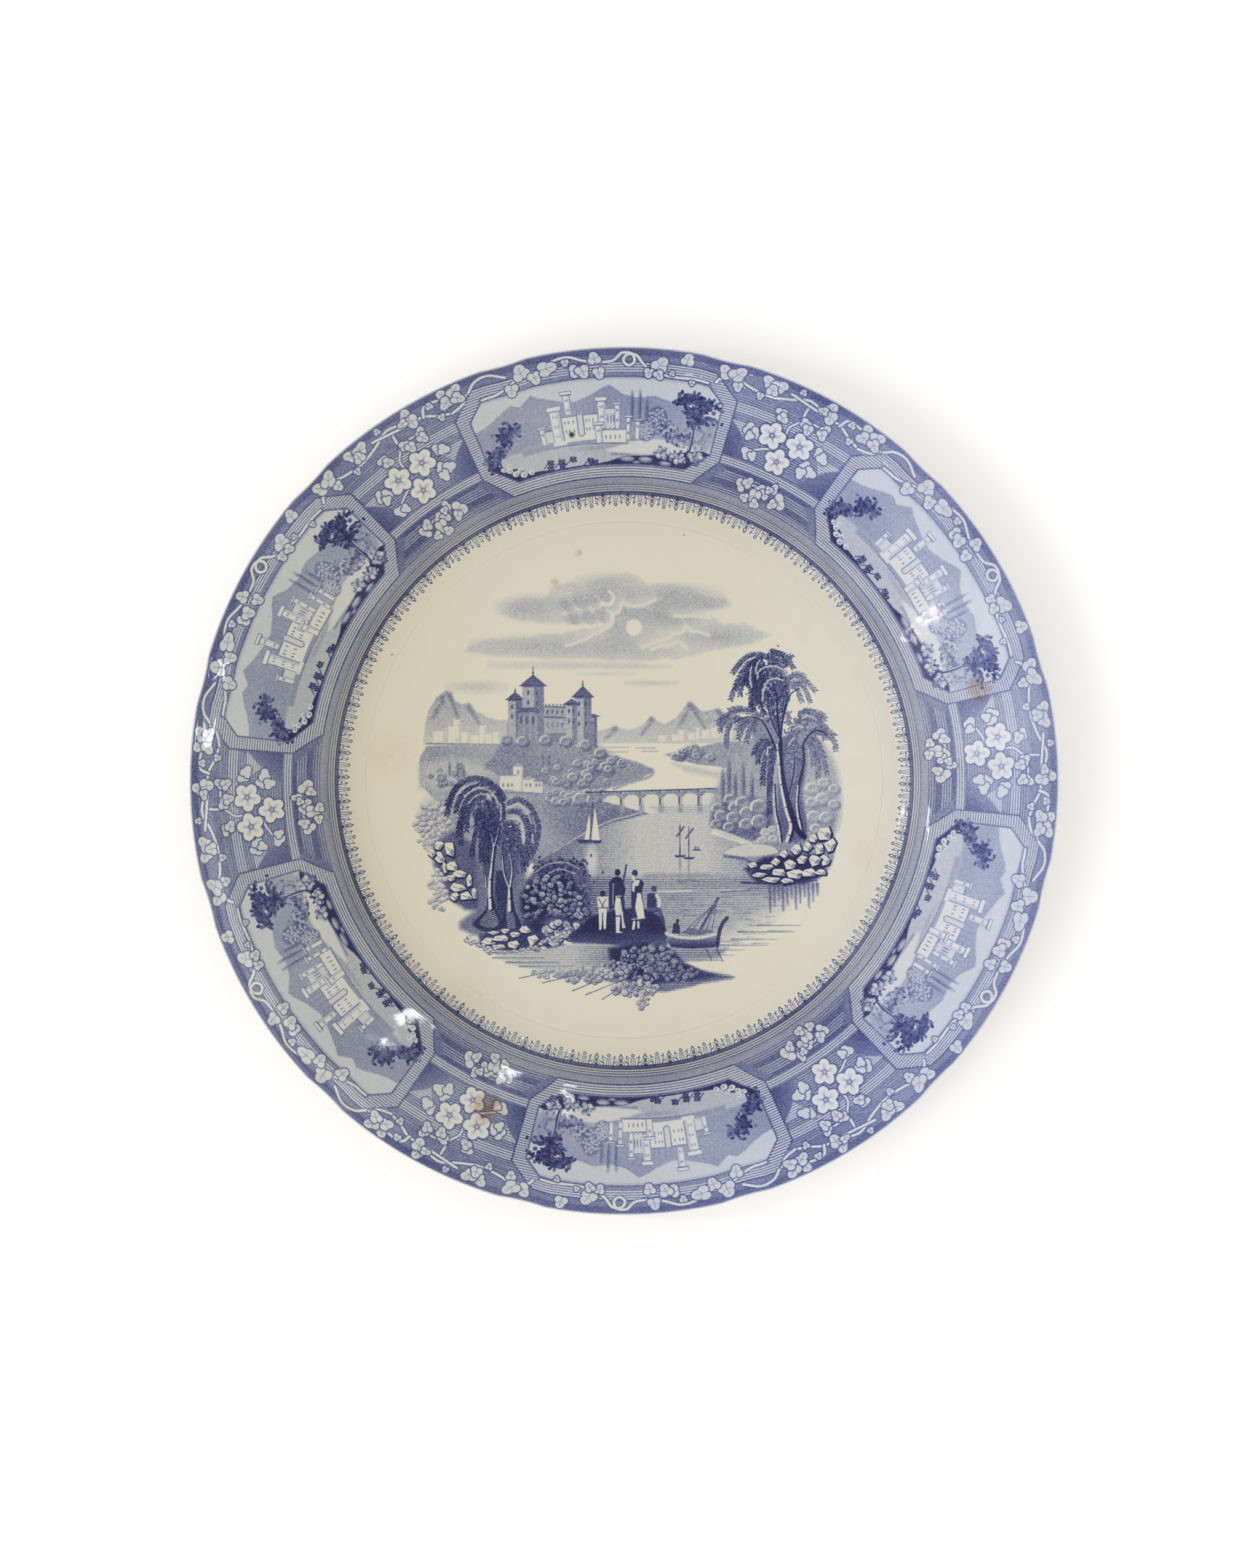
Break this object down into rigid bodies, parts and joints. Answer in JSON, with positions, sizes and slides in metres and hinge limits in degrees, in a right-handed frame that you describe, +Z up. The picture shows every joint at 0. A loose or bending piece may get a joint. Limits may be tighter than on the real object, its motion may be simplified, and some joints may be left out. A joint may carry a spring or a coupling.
{
  "type": "souvenir plate",
  "caption": "Round earthenware dinner plate with a lobed sloping rim, a flat well, a foot ring, a printed view and border, and a clear glaze.",
  "frame": {"origin": "centre of the foot ring's resting plane", "axes": "+Z up, out of the well; the plate lies face up with the top of its printed view towards +Y"},
  "size_m": [0.26, 0.26, 0.025],
  "materials": {
    "fired_clay": "satin",
    "view_ink": "gloss",
    "border_ink": "gloss",
    "clear_glaze": "gloss"
  },
  "bodies": {
    "root": {"earthenware_body": "fired_clay", "view_print": "view_ink", "border_print": "border_ink", "glaze_coat": "clear_glaze"}
  },
  "joints": []
}
